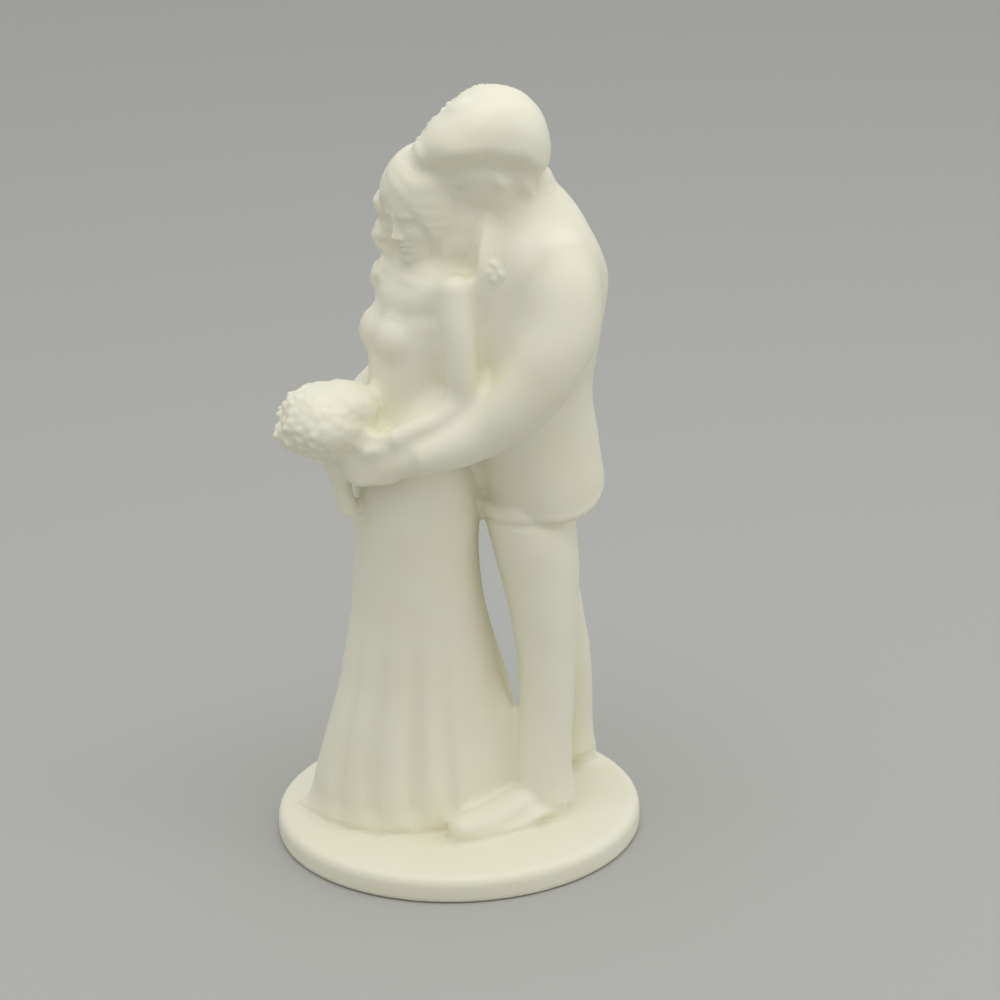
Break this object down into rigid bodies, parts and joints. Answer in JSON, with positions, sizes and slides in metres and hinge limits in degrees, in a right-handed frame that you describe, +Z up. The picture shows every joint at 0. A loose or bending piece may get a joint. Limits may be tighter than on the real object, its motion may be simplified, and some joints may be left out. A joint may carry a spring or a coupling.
{
  "type": "wedding cake topper",
  "caption": "Printed cake topper: a bride holding a bouquet, embraced from behind by a groom, both standing on a round base.",
  "frame": {"origin": "centre of the underside of the round base", "axes": "+Z up, the couple faces -Y, the couple's left is +X"},
  "size_m": [0.0564, 0.0564, 0.1187],
  "materials": {
    "base_disc": "ivory white PLA, printed in fine layers",
    "bride_head": "ivory white PLA, printed in fine layers",
    "groom_head": "ivory white PLA, printed in fine layers",
    "bride_neck_and_shoulders": "ivory white PLA, printed in fine layers",
    "bride_nape_hair": "ivory white PLA, printed in fine layers",
    "bride_bodice": "ivory white PLA, printed in fine layers",
    "groom_neck": "ivory white PLA, printed in fine layers",
    "groom_shirt_collar": "ivory white PLA, printed in fine layers",
    "bride_left_arm": "ivory white PLA, printed in fine layers",
    "bride_right_arm": "ivory white PLA, printed in fine layers",
    "bouquet_stems": "ivory white PLA, printed in fine layers",
    "bouquet_wrap": "ivory white PLA, printed in fine layers",
    "bride_left_hand": "ivory white PLA, printed in fine layers",
    "bride_right_hand": "ivory white PLA, printed in fine layers",
    "groom_left_hand": "ivory white PLA, printed in fine layers",
    "groom_right_hand": "ivory white PLA, printed in fine layers",
    "bouquet_flowers": "ivory white PLA, printed in fine layers",
    "groom_left_shoe": "ivory white PLA, printed in fine layers",
    "groom_right_shoe": "ivory white PLA, printed in fine layers",
    "groom_left_trouser_leg": "ivory white PLA, printed in fine layers",
    "groom_right_trouser_leg": "ivory white PLA, printed in fine layers",
    "groom_left_sleeve": "ivory white PLA, printed in fine layers",
    "groom_right_sleeve": "ivory white PLA, printed in fine layers",
    "bride_skirt": "ivory white PLA, printed in fine layers",
    "groom_buttonhole_flower": "ivory white PLA, printed in fine layers",
    "groom_left_lapel": "ivory white PLA, printed in fine layers",
    "groom_right_lapel": "ivory white PLA, printed in fine layers",
    "groom_jacket": "ivory white PLA, printed in fine layers",
    "bride_hair_crown": "ivory white PLA, printed in fine layers",
    "bride_right_curls": "ivory white PLA, printed in fine layers",
    "groom_hair": "ivory white PLA, printed in fine layers"
  },
  "bodies": {
    "root": {"base_disc": "base_disc", "bride_head": "bride_head", "groom_head": "groom_head", "bride_neck_and_shoulders": "bride_neck_and_shoulders", "bride_nape_hair": "bride_nape_hair", "bride_bodice": "bride_bodice", "groom_neck": "groom_neck", "groom_shirt_collar": "groom_shirt_collar", "bride_left_arm": "bride_left_arm", "bride_right_arm": "bride_right_arm", "bouquet_stems": "bouquet_stems", "bouquet_wrap": "bouquet_wrap", "bride_left_hand": "bride_left_hand", "bride_right_hand": "bride_right_hand", "groom_left_hand": "groom_left_hand", "groom_right_hand": "groom_right_hand", "bouquet_flowers": "bouquet_flowers", "groom_left_shoe": "groom_left_shoe", "groom_right_shoe": "groom_right_shoe", "groom_left_trouser_leg": "groom_left_trouser_leg", "groom_right_trouser_leg": "groom_right_trouser_leg", "groom_left_sleeve": "groom_left_sleeve", "groom_right_sleeve": "groom_right_sleeve", "bride_skirt": "bride_skirt", "groom_buttonhole_flower": "groom_buttonhole_flower", "groom_left_lapel": "groom_left_lapel", "groom_right_lapel": "groom_right_lapel", "groom_jacket": "groom_jacket", "bride_hair_crown": "bride_hair_crown", "bride_right_curls": "bride_right_curls", "groom_hair": "groom_hair"}
  },
  "joints": []
}
